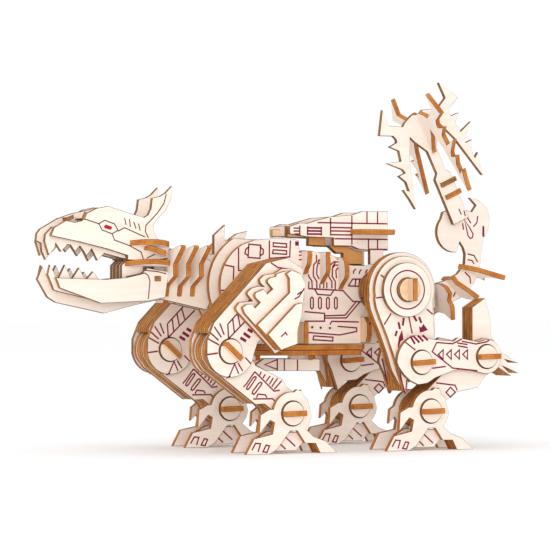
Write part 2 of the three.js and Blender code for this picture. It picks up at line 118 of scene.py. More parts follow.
def box(low_a, high_a, low_b, high_b):
    return [(low_a, low_b), (low_a, high_b), (high_a, high_b), (high_a, low_b)]


def signed_area(loop):
    return sum(loop[i - 1][0] * loop[i][1] - loop[i][0] * loop[i - 1][1] for i in range(len(loop))) / 2


def moved_in(loop, distance, closed=True):
    """Each corner moved to the left of the direction of travel, with mitred corners."""
    count = len(loop)
    moved = []
    for i, (x, z) in enumerate(loop):
        before, after = loop[i - 1], loop[(i + 1) % count]
        if not closed and i == 0:
            before = (2 * x - after[0], 2 * z - after[1])
        if not closed and i == count - 1:
            after = (2 * x - before[0], 2 * z - before[1])
        into = Vector((x - before[0], z - before[1])).normalized()
        out = Vector((after[0] - x, after[1] - z)).normalized()
        normal = Vector((-into.y - out.y, into.x + out.x)) / max(1 + into.dot(out), 0.4)
        moved.append((x + normal.x * distance, z + normal.y * distance))
    return moved


def grown(loop, distance):
    """The loop with its edges moved outwards, or inwards where the distance is negative."""
    return moved_in(loop, -distance if signed_area(loop) > 0 else distance)


def placed(outline, at):
    """An outline moved so that its (0, 0) comes to at."""
    return [(at[0] + x, at[1] + z) for x, z in outline]


# ---------------------------------------------------------------- where a sheet lies

def along(y):
    """A sheet along the beast: (x, z), thickness across it."""
    return lambda a, b, c: (a, y + c, b)


def tilted(origin, degrees):
    """A sheet across the beast: (u, y), where u runs at an angle above +X through origin."""
    cos, sin = math.cos(math.radians(degrees)), math.sin(math.radians(degrees))
    return lambda a, b, c: (origin[0] + a * cos - c * sin, b, origin[1] + a * sin + c * cos)


def level(z, rise=0.0, middle=0.0, reach=1.0):
    """A level sheet: (x, y). rise bends it up in the middle of its length, as thin plywood bends."""
    return lambda a, b, c: (a, b, z + c + rise * (1 - ((a - middle) / reach) ** 2))


# ---------------------------------------------------------------- pieces

FACE, WALL, SCORCH, INK, DARK_INK, EYE = range(6)  # the material slots of each piece
GRAIN_TURN = 4  # degrees that a sheet's grain may lean
DOT_R = 0.8


class Piece:
    """One object made of one or more closed solids: sheets, and the engraved lines on them."""

    def __init__(self, name, wall="umber", face="birch"):
        self.name = name
        self.wall = wall
        self.face = face
        self.points = []
        self.faces = []
        self.slots = []
        self.uvs = []

    def _face(self, indices, slot, uvs):
        self.faces.append(indices)
        self.slots.append(slot)
        self.uvs.append(uvs)

    def sheet(self, outline, place, low=-HALF_SHEET, high=HALF_SHEET, holes=()):
        """A flat sheet between two levels of thickness, with scorched corners all round."""
        shift = draw.uniform(0, 500)
        grain = math.radians(draw.uniform(-GRAIN_TURN, GRAIN_TURN))
        cos, sin = math.cos(grain), math.sin(grain)
        levels = (low, low + RIM, high - RIM, high)
        inner_low, inner_high = [], []
        for n, loop in enumerate([outline, *holes]):
            if (signed_area(loop) > 0) != (n == 0):
                loop = list(reversed(loop))
            inner = moved_in(loop, RIM)
            start = len(self.points)
            count = len(loop)
            for ring, at in zip((inner, loop, loop, inner), levels):
                self.points += [place(a, b, at) for a, b in ring]
            inner_low.append([(a, b, start + i) for i, (a, b) in enumerate(inner)])
            inner_high.append([(a, b, start + 3 * count + i) for i, (a, b) in enumerate(inner)])
            run = 0.0
            for i in range(count):
                j = (i + 1) % count
                step = math.dist(loop[i], loop[j])
                for band, slot in ((0, SCORCH), (1, WALL), (2, SCORCH)):
                    v0, v1 = levels[band] - low, levels[band + 1] - low
                    a, b = start + band * count, start + (band + 1) * count
                    corners = ((run, v0), (run + step, v0), (run + step, v1), (run, v1))
                    self._face((a + i, a + j, b + j, b + i), slot, [(shift + u, v) for u, v in corners])
                run += step
        for loops in (inner_low, inner_high):
            flat = [corner for loop in loops for corner in loop]
            for triangle in tessellate_polygon([[Vector((a, b, 0)) for a, b, _ in loop] for loop in loops]):
                corners = [flat[k] for k in triangle]
                uvs = [(shift + a * cos - b * sin, shift + a * sin + b * cos) for a, b, _ in corners]
                self._face(tuple(index for _, _, index in corners), FACE, uvs)

    def stack(self, outlines, place, half, holes=()):
        """Sheets glued together, half a thickness either side of the middle, one for each outline."""
        step = 2 * half / len(outlines)
        for i, outline in enumerate(outlines):
            low = i * step - half + GLUE_GAP / 2
            self.sheet(outline, place, low, low + step - GLUE_GAP, holes)

    def line(self, points, place, surface, outward, width=INK_WIDTH, closed=False, slot=INK):
        """An engraved line, filled with soot: a thin closed strip that stands just clear of the face."""
        left = moved_in(points, width / 2, closed)
        right = moved_in(points, -width / 2, closed)
        under, over = surface - outward * INK_DEPTH, surface + outward * INK_DEPTH
        start = len(self.points)
        for one, other in zip(left, right):
            self.points += [place(*one, under), place(*other, under), place(*other, over), place(*one, over)]
        count = len(points)
        flat = [(0, 0)] * 4
        for i in range(count if closed else count - 1):
            a, b = start + 4 * i, start + 4 * ((i + 1) % count)
            for k in range(4):
                self._face((a + k, a + (k + 1) % 4, b + (k + 1) % 4, b + k), slot, flat)
        if not closed:
            end = start + 4 * (count - 1)
            self._face((start, start + 3, start + 2, start + 1), slot, flat)
            self._face((end, end + 1, end + 2, end + 3), slot, flat)

    def patch(self, points, place, surface, outward, slot=INK):
        """A filled engraved area."""
        under, over = surface - outward * INK_DEPTH, surface + outward * INK_DEPTH
        start = len(self.points)
        count = len(points)
        for at in (under, over):
            self.points += [place(a, b, at) for a, b in points]
        for i in range(count):
            j = (i + 1) % count
            self._face((start + i, start + j, start + count + j, start + count + i), slot, [(0, 0)] * 4)
        for base in (start, start + count):
            for triangle in tessellate_polygon([[Vector((a, b, 0)) for a, b in points]]):
                self._face(tuple(base + k for k in triangle), slot, [(0, 0)] * 3)

    def ink(self, strokes, place, surface, outward, width=INK_WIDTH, slot=INK):
        """Each stroke is a text of points. A 'z' at its end closes it. An 'f' in front fills it, an 'e'
        fills it as an eye, and an 'o' makes round dots."""
        for stroke in strokes:
            if stroke[0] == "f":
                self.patch(pts(stroke[2:]), place, surface, outward, slot)
            elif stroke[0] == "e":
                self.patch(pts(stroke[2:]), place, surface, outward, EYE)
            elif stroke[0] == "o":
                for centre in pts(stroke[2:]):
                    self.patch(circle(centre, DOT_R, 12), place, surface, outward, slot)
            elif stroke[-1] == "z":
                self.line(pts(stroke[:-2]), place, surface, outward, width, True, slot)
            else:
                self.line(pts(stroke), place, surface, outward, width, False, slot)

    def done(self, body, *replaced, slot="plywood"):
        """Makes the Blender object, which rides on a body and stands for the CAD nodes it replaces."""
        mesh = bpy.data.meshes.new(self.name)
        scaled = [((x + ORIGIN_X) / 1000, y / 1000, (z + ORIGIN_Z) / 1000) for x, y, z in self.points]
        mesh.from_pydata(scaled, [], self.faces)
        layer = mesh.uv_layers.new(name="sheet_mm")
        for polygon, slot_index, uvs in zip(mesh.polygons, self.slots, self.uvs):
            polygon.material_index = slot_index
            for loop, uv in zip(polygon.loop_indices, uvs):
                layer.data[loop].uv = uv
        solid = bmesh.new()
        solid.from_mesh(mesh)
        bmesh.ops.recalc_face_normals(solid, faces=solid.faces)
        solid.to_mesh(mesh)
        solid.free()
        for material in (FACES[self.face], WALLS[self.wall], SCORCHED, CRIMSON, SEPIA, RED_EYE):
            mesh.materials.append(material)
        thing = bpy.data.objects.new(self.name, mesh)
        bpy.context.scene.collection.objects.link(thing)
        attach(thing, body)
        if replaced:
            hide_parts(*replaced)


# ---------------------------------------------------------------- materials

def colour(red, green, blue):
    """An sRGB colour as linear values."""
    def linear(value):
        value /= 255
        return value / 12.92 if value <= 0.04045 else ((value + 0.055) / 1.055) ** 2.4
    return (linear(red), linear(green), linear(blue), 1.0)


class Nodes:
    """A small helper for building a material's node tree."""

    def __init__(self, name, roughness):
        self.material = bpy.data.materials.new(name)
        self.material.use_nodes = True
        self.tree = self.material.node_tree
        self.shader = self.tree.nodes["Principled BSDF"]
        self.shader.inputs["Roughness"].default_value = roughness
        self.shader.inputs["Specular IOR Level"].default_value = 0.25

    def add(self, kind, **inputs):
        node = self.tree.nodes.new(kind)
        for key, value in inputs.items():
            self.put(node, key, value)
        return node

    def put(self, node, key, value):
        socket = node.inputs[int(key[1:]) if key[0] == "_" and key[1:].isdigit() else key.replace("_", " ")]
        if hasattr(value, "is_output"):
            self.tree.links.new(value, socket)
        else:
            socket.default_value = value

    def uv(self, scale_x, scale_y):
        source = self.add("ShaderNodeUVMap")
        source.uv_map = "sheet_mm"
        mapping = self.add("ShaderNodeMapping", Vector=source.outputs["UV"], Scale=(scale_x, scale_y, 1))
        return mapping.outputs["Vector"]

    def noise(self, vector, detail=4.0, roughness=0.55, distortion=0.0):
        node = self.add("ShaderNodeTexNoise", Vector=vector, Scale=1.0, Detail=detail, Roughness=roughness,
                        Distortion=distortion)
        return node.outputs["Fac"]

    def math(self, operation, first, second=0.0):
        node = self.tree.nodes.new("ShaderNodeMath")
        node.operation = operation
        self.put(node, "_0", first)
        self.put(node, "_1", second)
        return node.outputs[0]

    def ramp(self, factor, *stops):
        node = self.add("ShaderNodeValToRGB", Fac=factor)
        stripes = node.color_ramp
        while len(stripes.elements) < len(stops):
            stripes.elements.new(0.5)
        for element, (position, value) in zip(stripes.elements, stops):
            element.position = position
            element.color = value if len(value) == 4 else (*value, 1)
        return node.outputs["Color"]

    def mix(self, factor, first, second):
        node = self.tree.nodes.new("ShaderNodeMix")
        node.data_type = "RGBA"
        self.put(node, "_0", factor)
        self.put(node, "_6", first)
        self.put(node, "_7", second)
        return node.outputs[2]

    def bump(self, height, strength, distance):
        node = self.add("ShaderNodeBump", Height=height, Strength=strength, Distance=distance)
        self.tree.links.new(node.outputs["Normal"], self.shader.inputs["Normal"])

    def base(self, value):
        self.put(self.shader, "Base Color", value)
        return self.material


def grey(value):
    return (value, value, value, 1.0)


def birch(name, pale, vein):
    """A sanded plywood face: long soft grain, fine fibres and a few pores."""
    n = Nodes(name, 0.62)
    broad = n.noise(n.uv(0.012, 0.22), 5.0, 0.6, 0.8)
    fibre = n.noise(n.uv(0.12, 3.2), 3.0, 0.6)
    pores = n.noise(n.uv(0.35, 4.5), 2.0, 0.5)
    tone = n.mix(n.ramp(broad, (0.35, grey(0)), (0.72, grey(1))), pale, vein)
    tone = n.mix(n.ramp(fibre, (0.45, grey(0)), (0.8, grey(0.35))), tone, vein)
    tone = n.mix(n.ramp(pores, (0.68, grey(0)), (0.78, grey(0.3))), tone, colour(190, 150, 110))
    n.put(n.shader, "Roughness", n.math("ADD", n.math("MULTIPLY", fibre, 0.2), 0.5))
    n.bump(n.math("ADD", fibre, n.math("MULTIPLY", pores, 0.6)), 0.12, 0.0001)
    return n.base(tone)


def burnt_edge(name, light, dark, char):
    """A laser-cut edge: three plies with dark glue lines, burn streaks across them, and darker patches."""
    n = Nodes(name, 0.7)
    source = n.add("ShaderNodeUVMap")
    source.uv_map = "sheet_mm"
    split = n.add("ShaderNodeSeparateXYZ", Vector=source.outputs["UV"])
    depth = n.math("MULTIPLY", split.outputs["Y"], 1.0 / SHEET)
    stops = ((0.0, grey(0.9)), (0.06, grey(0.25)), (0.3, grey(0.2)), (0.335, grey(0.8)), (0.37, grey(0.5)),
             (0.63, grey(0.5)), (0.665, grey(0.8)), (0.7, grey(0.2)), (0.94, grey(0.3)), (1.0, grey(0.95)))
    plies = n.ramp(depth, *stops)
    streaks = n.noise(n.uv(2.2, 0.25), 3.0, 0.6)
    patches = n.noise(n.uv(0.09, 0.15), 3.0, 0.5)
    tone = n.mix(n.ramp(patches, (0.36, grey(0)), (0.66, grey(1))), light, dark)
    tone = n.mix(n.math("MULTIPLY", plies, 0.6), tone, char)
    tone = n.mix(n.ramp(streaks, (0.45, grey(0)), (0.75, grey(0.55))), tone, char)
    n.bump(n.math("ADD", streaks, n.math("MULTIPLY", plies, -0.7)), 0.35, 0.0002)
    return n.base(tone)


def soot(name, tone, edge, roughness):
    """Charred wood in an engraved line or along a corner."""
    n = Nodes(name, roughness)
    flecks = n.add("ShaderNodeTexCoord")
    mapping = n.add("ShaderNodeMapping", Vector=flecks.outputs["Object"], Scale=(900, 900, 900))
    speckle = n.noise(mapping.outputs["Vector"], 2.0)
    n.bump(speckle, 0.2, 0.0001)
    return n.base(n.mix(n.ramp(speckle, (0.4, grey(0)), (0.7, grey(0.6))), tone, edge))


PALE = colour(243, 231, 220)
FACES = {
    "birch": birch("birch_face", PALE, colour(238, 220, 204)),
    # tan birch face: painted shade, the warm darker tone of faces tucked between other parts (barrel, tabs,
    # axles, keys)
    "tan": birch("birch_face_tan_painted_shade", colour(238, 206, 174), colour(224, 188, 150)),
    # brown birch face: painted shade, the colour of a sheet face seen in shadow deep under other sheets
    "brown": birch("birch_face_painted_shade_brown", colour(225, 165, 100), colour(200, 138, 80)),
}
WALLS = {
    "umber": burnt_edge("edge_umber", colour(198, 140, 80), colour(140, 94, 54), colour(70, 44, 26)),
    "orange": burnt_edge("edge_orange", colour(226, 148, 66), colour(196, 112, 40), colour(106, 58, 26)),
    "gold": burnt_edge("edge_gold", colour(226, 154, 66), colour(184, 108, 40), colour(84, 46, 22)),
    "light": burnt_edge("edge_light", colour(232, 186, 128), colour(205, 146, 88), colour(120, 78, 44)),
}
SCORCHED = soot("scorched_corner", colour(88, 58, 40), colour(60, 38, 26), 0.8)
CRIMSON = soot("engraved_crimson", colour(136, 22, 62), colour(100, 20, 50), 0.85)
SEPIA = soot("engraved_sepia", colour(104, 52, 56), colour(80, 40, 44), 0.85)
RED_EYE = soot("eye_red", colour(176, 16, 48), colour(150, 12, 40), 0.5)


# ---------------------------------------------------------------- helpers for the parts

def side_sheet(name, outline, y, replaced=(), strokes=(), holes=(), wall="umber", face="birch",
               width=INK_WIDTH, ink_slot=INK):
    """One upright sheet of the torso, engraved where it looks away from the beast's middle."""
    piece = Piece(name, wall, face)
    piece.sheet(outline, along(y), holes=holes)
    side = 1 if y > 0 else -1
    piece.ink(strokes, along(y), side * HALF_SHEET, side, width, ink_slot)
    piece.done("torso", *replaced)


def both_faces(piece, strokes, y, half, width=INK_WIDTH):
    """Engraves the two faces of a part that is 2 * half thick."""
    for out in (-1, 1):
        piece.ink(strokes, along(y), out * half, out, width)


# ---------------------------------------------------------------- head

CHEEK = pts(
    "-143.8,125 -141.8,129.5 -134.8,133.5 -129.8,132.5 -125.3,133.5 -123.8,137 -116.8,140.5 -109.8,142 "
    "-97.8,138.5 -87.8,136 -85.3,137.5 -83.6,141 -82.8,147 -78.3,148 -74.8,150 -70.8,154 -71.3,146.5 "
    "-74.8,140 -79.8,135 -82.3,131.5 -81.8,128 -79.8,124 -72.3,122 -72.3,113.5 -78.8,112.3 -86.8,111.7 "
    "-97.8,112 -97.8,114.5 -110.8,118.2 -126.8,121.8"
)
CHEEK_INK = [
    "-123.8,134.5 -115.3,132",
    "-115.3,132 -111.8,134 -105.8,132 -103.8,128.5 -107.3,126.5 -113.3,128.5 z",
    "-103.8,128 -99.8,130 -87.3,125",
    "-107.3,126.5 -105.8,123 -96.8,120 -89.8,116.5 -88.3,112.5",
    "-86.3,113 -78.8,116.5",
    "-99.8,135.5 -98.8,131.5", "-96.8,135 -96.3,130.5", "-94.3,133.5 -92.8,129.5", "-91.3,132.5 -90.3,128.5",
    "-74.3,149.5 -75.8,144 -79.8,138.5 -83.8,134.5 -86.8,131.5 -87.1,128 -85.3,124.5",
    "e -111.8,131.2 -111,131.6 -107.8,130.6 -107.1,130 -107.8,129 -108.6,128.7 -111.8,129.6 -112.3,130.2",
]
JAW = pts(
    "-140.8,102 -138.3,96 -113.8,87.6 -84.8,89 -74.8,91 -72.8,105.5 -85.8,107.5 -89.8,104 -98.8,102 "
    "-110.8,101 -139.3,101.6"
)
JAW_INK = [
    "-98.8,102.5 -87.3,104.7", "-87.1,106.2 -79.8,105.6 -74.3,104.3",
    "-87.3,104.7 -85.3,103.2 -84.3,100 -85.3,90",
]
UPPER_TEETH = pts(
    "-146.3,122 -143.8,114.2 -140.6,117.8 -139.8,121 -136.6,116.2 -132.8,120.3 -130.8,120 -128.4,116.4 "
    "-125.4,119.6 -124.8,119 -121.4,114.2 -118.4,118 -118,117.5 -114.8,111.5 -110.8,115.6 -97.8,112.5 "
    "-97.8,124 -134.8,131 -141.8,130 -145.8,126"
)
LOWER_TEETH = pts(
    "-140.8,95 -144.4,103.5 -143.1,109 -139.4,101.8 -137.8,102 -134.3,109 -130.8,101.6 -129.8,101.6 "
    "-125.8,107.4 -122.4,101 -121.4,101 -117.4,105.4 -113.6,100.6 -97.8,100 -88.8,97 -88.8,90 -113.8,88.6 "
    "-137.8,94"
)
SNOUT = pts(
    "-148.8,122.5 -148.3,126.5 -146.3,129 -136.8,134.5 -128.8,137.5 -111.8,141.5 -97.8,138 -86.8,132.5 "
    "-86.8,116 -96.8,114 -99.8,118.5 -138.8,121 -140.3,116 -143.1,111.8 -145.3,116.5 -145.8,121"
)
CROWN = pts("-97.6,0 -97.6,9 -95.5,14 -91,17 -84,18 -78,17.5 -73.5,14 -73.5,0")
BRIDGE = pts("-98.2,0 -98.2,9 -96,13.5 -91,17 -83,18 -76,17 -71.7,13.5 -71.7,0")
JAW_CROSS = pts("-88,0 -88,8 -81.5,8 -81.5,12.2 -77.8,12.2 -77.8,8 -75,8 -75,0")
WEDGE = pts("-6,0 -6,15 -4,18 5,18 6,16 6,0")
HEAD_BEND = 1.6  # how far the level head sheets bow up, over HEAD_BEND_REACH either way
HEAD_BEND_REACH = 15
THROAT = pts("-100.2,101 -100.2,109 -97,112 -87,112 -87,98 -97,98")
THROAT_HALF = 8.3
THROAT_STEPS = (0, 0.4, 0, 0.4, 0, 0.4)  # how far each sheet stands out
PEG_HALF = 2.2
PEGS = (((-131, 135.2), 20, 8.2), ((-124, 136.3), 65, 11.8))  # middle, tilt, reach


def make_head():
    for side, word in SIDES:
        for name, outline, strokes in ((f"skull_{word}", CHEEK, CHEEK_INK), (f"jaw_{word}", JAW, JAW_INK)):
            side_sheet(name, outline, side * CHEEK_Y, [name], strokes, width=HEAD_INK_WIDTH,
                       ink_slot=DARK_INK)
        side_sheet(f"upper_teeth_{word}", UPPER_TEETH, side * TOOTH_Y)
        side_sheet(f"lower_teeth_{word}", LOWER_TEETH, side * TOOTH_Y)
    side_sheet("skull_core", SNOUT, 0, ["skull_core"])

    for name, outline, z, middle in (("head_crown", CROWN, 120.6, -86), ("head_bridge", BRIDGE, 109.6, -85)):
        piece = Piece(name, "orange")
        piece.sheet(mirrored(outline), level(z, HEAD_BEND, middle, HEAD_BEND_REACH))
        piece.done("torso", name, slot="burnt_edge")

    wedge = Piece("crown_wedge", "orange")
    wedge.sheet(mirrored(WEDGE), tilted((-82, 117.2), -18))
    wedge.done("torso")

    cross = Piece("jaw_cross")
    cross.sheet(mirrored(JAW_CROSS), level(101.6))
    cross.done("torso", "jaw_cross", slot="burnt_edge")

    throat = Piece("throat_sheets")
    throat.stack([grown(THROAT, step) for step in THROAT_STEPS], along(0), THROAT_HALF)
    throat.done("torso")

    pegs = Piece("snout_pegs")
    for origin, tilt, reach in PEGS:
        pegs.sheet(mirrored(box(-PEG_HALF, PEG_HALF, 0, reach)), tilted(origin, tilt), -1, 1)
    pegs.done("torso")


# ---------------------------------------------------------------- neck and spine

COLLAR_X = (-72, -64, -56)
COLLAR = pts("87,0 87,5.5 96.5,8 102,19.7 109,19.5 118.3,31 119.5,29.5 117,14 117,0")
SPINE = pts(
    "-88,87 -108,82 -137,88 -142,91 -148,101 -145,108 -141,100 -126,98 -97,97 -97,115 -40,116 -40,127 "
    "-33,133 -33.5,125 -31,120.5 -30,125 -25.5,128 -19,129.5 -22,121 0,104 78,106 96,102 104,98 106,86 "
    "90,76 50,70 -28,68 -42,84 -52,94"
)
CHEST_ARC = arc((-17, 98), 31, 120, 222) + pts("-20,66 0,66 0,124")
CHEST_Y = 10
NECK_SIDE = pts("-80,91 -47,84 -44,90 -44,112 -52,115 -80,113")
NECK_Y = 5


def make_neck():
    for n, x in enumerate(COLLAR_X, 1):
        piece = Piece(f"neck_collar_{n}", "orange")
        piece.sheet(mirrored(COLLAR), tilted((x, 0.7), 90))
        piece.done("torso", f"neck_collar_{n}")
    side_sheet("spine_plate", SPINE, 0, ["spine_plate"])
    for side, word in SIDES:
        side_sheet(f"chest_arc_{word}", CHEST_ARC, side * CHEST_Y, wall="orange")
        side_sheet(f"neck_side_{word}", NECK_SIDE, side * NECK_Y)


# ---------------------------------------------------------------- torso

TORSO = (
    pts("-30,64.3")
    + arc((-17, 98), 26.5, 236, 118)
    + pts(
        "-22,124 -10,125 2,125 6.5,124 6.8,118.5 16,118 17,117.2 25,116.8 30,115 31,113.4 34,113 38,110.5 "
        "42,110 60,110 76,107 84,94 78,78 56,64.3"
    )
)
TORSO_INK = [
    "-12.5,123.8 -12.5,113.5", "1,124 0.5,114.5 -12.5,113.5", "-32,119.4 -32,106.5 -20,106",
    "f 4,121 6.3,121 6.3,123.5 4,123.5", "-40.5,109.5 -35,108.5 -35.5,95.5 -43,95",
    "-25.5,121.5 -18,121 -18.5,113.5 -26,114 z",
    "-25.5,120 -27.5,118.5 -28,116.2 -26,115", "-18.5,120 -16.3,118.5 -16.5,116 -18.5,115",
    "-10,122.5 -1.5,122 -1.5,120 -10,120.4 z", "-10,118.5 -1.5,118 -1.5,116 -10.5,116.4 z",
    "16.5,96.2 18.5,93 27,92.5 29,95.5",
    "12.5,96.3 35,95.3 41.5,89 54,88.5",
    "10,83 23,82 23,77.5 10,77.5",
    "23,80.6 36.5,81 43.5,88.7", "23,79.3 37.2,79.4 46,88.6",
    "o 15,74 20.5,73.7 26.5,73.5",
    "26.5,75.5 27.7,77.4 45.5,77",
    "31.5,74.5 44,73.6 44,71.5 33,69.5 12,71",
    "16,69 28.5,68.2 28.3,66 15.6,66.8 z",
    "38.5,98 41.5,102 54,102", "38.5,98 54,97.5", "43.5,102 43,98", "46,102 45.5,98", "48.7,102 48.3,98",
    "43.5,108 42,106.5 42,105", "47.3,107.7 46,106.4 45.7,105", "51.3,107.7 50.2,106.6 50,105.3",
    "6.5,117.5 9.5,117.5 10.8,115", "6.5,115.5 9.5,115.5 10.8,113", "6.5,113 9.5,113 10.8,110.5",
    "17.8,116 17.8,112 16,110 15.7,106 15.8,103.5 18,100.5 18,96.3",
    "20.5,113 19.2,112.8 18,108 18,104.5 19.5,101.8", "19.2,112.6 21.6,112.6 23.4,110",
    "19.2,110.8 20.5,111 22.9,108.4", "12.5,104.5 13,103 14.8,100.8 15,96.5", "13,100.5 12.7,97.5 12.8,96.3",
    "25.8,104.5 26,103 27.8,100.5 27.8,96.5", "30,111.5 28.3,109 28,103.5 30,100.5 30,96",
    "30.8,102.4 30.4,106.8 31.6,108.4 34.2,106.1", "28.6,108.6 29.8,110 32,110 34.4,107.1",
    "26.7,110 29.3,112 32.2,111.8 34.8,109.2", "20,99 20,96.5", "22.5,99 22.5,96.5", "24.5,100 24.5,96.5",
] + [f"{x - 0.9},90.6 {x},91.4 {x + 0.9},90.6 {x + 0.9},85.4 {x},84.6 {x - 0.9},85.4 z"
     for x in (14.8, 20, 25.2, 30.4)]
BELLY = pts("-30,0 -30,16 -24,24 44,24 50,16 50,0")
LOWER_BELLY = pts("-28.5,0 -28.5,15 -22.5,23 42.5,23 48.5,15 48.5,0")
BELLY_Z = 62.4
BELLY_ROD = pts("-19.5,52.5 -14,56 22,55.6 22,48.6 -13,49")
BELLY_ROD_INK = ["-13.5,52.6 -5.5,55.4 -5.5,49.7 z", "-1,55.6 -1,49", "7.5,55.4 7.5,48.8"]
BELLY_ROD_Y = 12
TAB_XS = (7.5, 48)
TABS = [pts("64.5,14.6 64.5,25 77,25 77,14.6"), pts("65,14.6 65,24 69,26 76,26 80,22 80,14.6")]
RIB_XS = (9.5, 21.5, 33.5)
RIB_FINS = [
    pts("118,15.6 118,25.5 116,26 113,25.5 110,24.7 107,21.6 105,21 104.5,15.6"),
    pts("117.5,15.6 117.5,26 115,25 111,25.7 107,25.7 105,24.7 102,20.6 99,17.5 98.5,15.6"),
    pts("114.5,15.6 114.5,22 112,25 108,26 104,26 102,25 99,20.6 96,17.5 95.5,15.6"),
]


def make_torso():
    for side, word in SIDES:
        side_sheet(f"torso_{word}", TORSO, side * TORSO_Y, [f"torso_{word}"], TORSO_INK,
                   holes=[circle(SHOULDER, HOLE_R), circle(HIP, HOLE_R)], wall="orange")
        ribs = Piece(f"side_ribs_{word}", "orange")
        for x, fin in zip(RIB_XS, RIB_FINS):
            ribs.sheet([(z, side * y) for z, y in fin], tilted((x, 0), 90))
        ribs.done("torso", *(["rib_front"] if side < 0 else []))
        # the tabs' tan face is painted shade
        tabs = Piece(f"side_tabs_{word}", "orange", "tan")
        for x, tab in zip(TAB_XS, TABS):
            tabs.sheet([(z, side * y) for z, y in tab], tilted((x, 0), 90))
        tabs.done("torso")
        side_sheet(f"belly_rod_{word}", BELLY_ROD, side * BELLY_ROD_Y, (), BELLY_ROD_INK, wall="orange")
    belly = Piece("belly_plate", "orange")
    belly.sheet(mirrored(BELLY), level(BELLY_Z))
    belly.sheet(mirrored(LOWER_BELLY), level(BELLY_Z - SHEET))
    for x in (-18, 16):
        belly.sheet(box(55, 60, -14, 14), tilted((x, 0), 90))
    belly.done("torso", "belly_plate", slot="burnt_edge")


# ---------------------------------------------------------------- device on the back

CANNON = pts(
    "2.5,128 2.5,132.2 9,134.4 14,134.2 20,136 29,138.3 43,139.5 50,141.8 67,142 67,119 64,119 64,110.6 "
    "55,110.6 55,119 48,119.5 43,121.4 31,121.4 31,126 14,126.4"
)
CANNON_INK = [
    "20.5,134.7 66.6,134.7", "31.5,125.5 66.6,125.5", "29,137.6 29,127.3", "43,139 43,122",
    "53,141.6 53,134.7", "60,141.6 60,134.7", "66.6,119.6 54,119.6 54,125.5", "60,125.5 60,119.6",
    "14,132.4 14,127.2", "23,132.4 23,127.2",
    "5,131.3 9,131.3", "5,129.6 9,129.6", "5.5,127.9 9,127.9", "9,132.8 9,127.2",
    "29,132 43,132", "29,130 43,130", "29,127.8 43,127.8",
]
CANNON_BARS = ["14,131.6 23,131.6", "14,129.8 23,129.8", "14,128 23,128"]
BRACKET = pts(
    "16.5,121.7 16.5,126.3 27.5,126.6 27.5,121.7 42.6,121.3 47.4,118.6 52.2,118.4 52.2,110.8 40.8,110.8 "
    "39.3,114.3 39.3,117.3 34.9,117.3 30.1,121.2"
)
BRACKET_Y = 8
FAR_BRACKET_SHIFT = 8  # how much further back the right bracket stands
CANNON_BAR_WIDTH = 1.1
BARREL_HALF_SHEET = 1.45
SIGHT = pts("12,132 16,134.4 24,135.5 26,135.5 26,132")
WING = pts("42,0 42,18 44,24 66,24 67,22 67,0")
WING_Z = 129.5


def make_device():
    for side, word in SIDES:
        cheek = Piece(f"cannon_{word}")
        place = along(side * CANNON_Y)
        cheek.sheet(CANNON, place)
        cheek.ink(CANNON_INK, place, side * HALF_SHEET, side)
        cheek.ink(CANNON_BARS, place, side * HALF_SHEET, side, CANNON_BAR_WIDTH)
        cheek.done("torso", f"cannon_{word}")
    # the barrel's tan face is painted shade
    core = Piece("cannon_core", "light", "tan")
    for y, front_x in zip((-SHEET, 0, SHEET), (-4.4, -2.8, -1.2)):
        barrel = [(front_x, 126.4), (front_x, 130.6)] + pts("8,130.8 24,133 24,126")
        core.sheet(barrel, along(y), -BARREL_HALF_SHEET, BARREL_HALF_SHEET)
    core.stack([SIGHT] * 3, along(0), 3 * HALF_SHEET)
    core.done("torso")
    for side, word in SIDES:
        shift = FAR_BRACKET_SHIFT if side > 0 else 0
        # the brackets get the brown face: painted shade for faces tucked under the cannon
        side_sheet(f"cannon_bracket_{word}", placed(BRACKET, (shift, 0)), side * BRACKET_Y, face="brown")
    nozzle = Piece("cannon_nozzle")
    nozzle.sheet(box(126.4, 132.6, -10, 10), tilted((2, 0), 90), -1, 1)
    nozzle.done("torso")
    wing = Piece("cannon_wing", "orange")
    wing.sheet(mirrored(WING), level(WING_Z))
    wing.done("torso", "cannon_wing", slot="burnt_edge")


# ---------------------------------------------------------------- tail

STEM_Y = 3.3
STEM = (
    pts("82,92 92,101 104,99 115,102 123,106 128,112 128.4,118 127,122 124.5,125.3")
    + arc((121, 131), 12.2, 275, 140)
    + pts(
        "113,143 122,146 133,143.5 136,147.5 131.5,152 138,150.5 143.5,146 145.5,140 144.5,133 141,127 "
        "139.5,118 138.5,108 135,101 128,93 118,88 104,84 86,82"
    )
)
STEM_INK = [
    "130,118 134.5,117 137,113", "130,114.5 133,114 134.5,112", "118.5,101 121.5,95 120,92",
    "128,107 131.5,104 132,100", "108,97 109,90 107,86", "134,134.5 136.5,137 137,141",
    "129.8,140 132.3,136.5", "126.5,136.5 127.1,132.5", "f 140.3,128.5 141.7,128.5 141.7,135 140.3,135",
]
ARROW_AT = (125.7, 133.2)
ARROW_TILT = 115
ARROW_SHAFT = pts("5,5.6 34.5,5.9 37.5,3.2")
ARROW_HEAD = pts(
    "52,3.5 60,8.8 64.5,11 52,17 24,25.5 30.7,26.7 37.9,28.4 35.6,25 41.3,24.7 46.5,27.7 46.5,22.9 "
    "48.9,23.6 56.6,31.7 53.9,22.5 60.1,21.3 64.8,26.1 65.2,20.5 66.8,20 69.6,21.1 73.4,29.5 86.5,21.1 "
    "76.5,21.4 74.6,17.5 72.1,12.8 74,10.1 76.1,4 75.2,1.9 75,0"
)
TEARDROP = "127.8,138.5 131.3,134 133.8,130 133.3,128 131.8,127.3 130.3,129 129.3,133 z"
SHAFT_DASHES = ["122,145 123.7,141.5", "125.5,144 126.5,140.5"]
TAIL_INK_WIDTH = 0.8
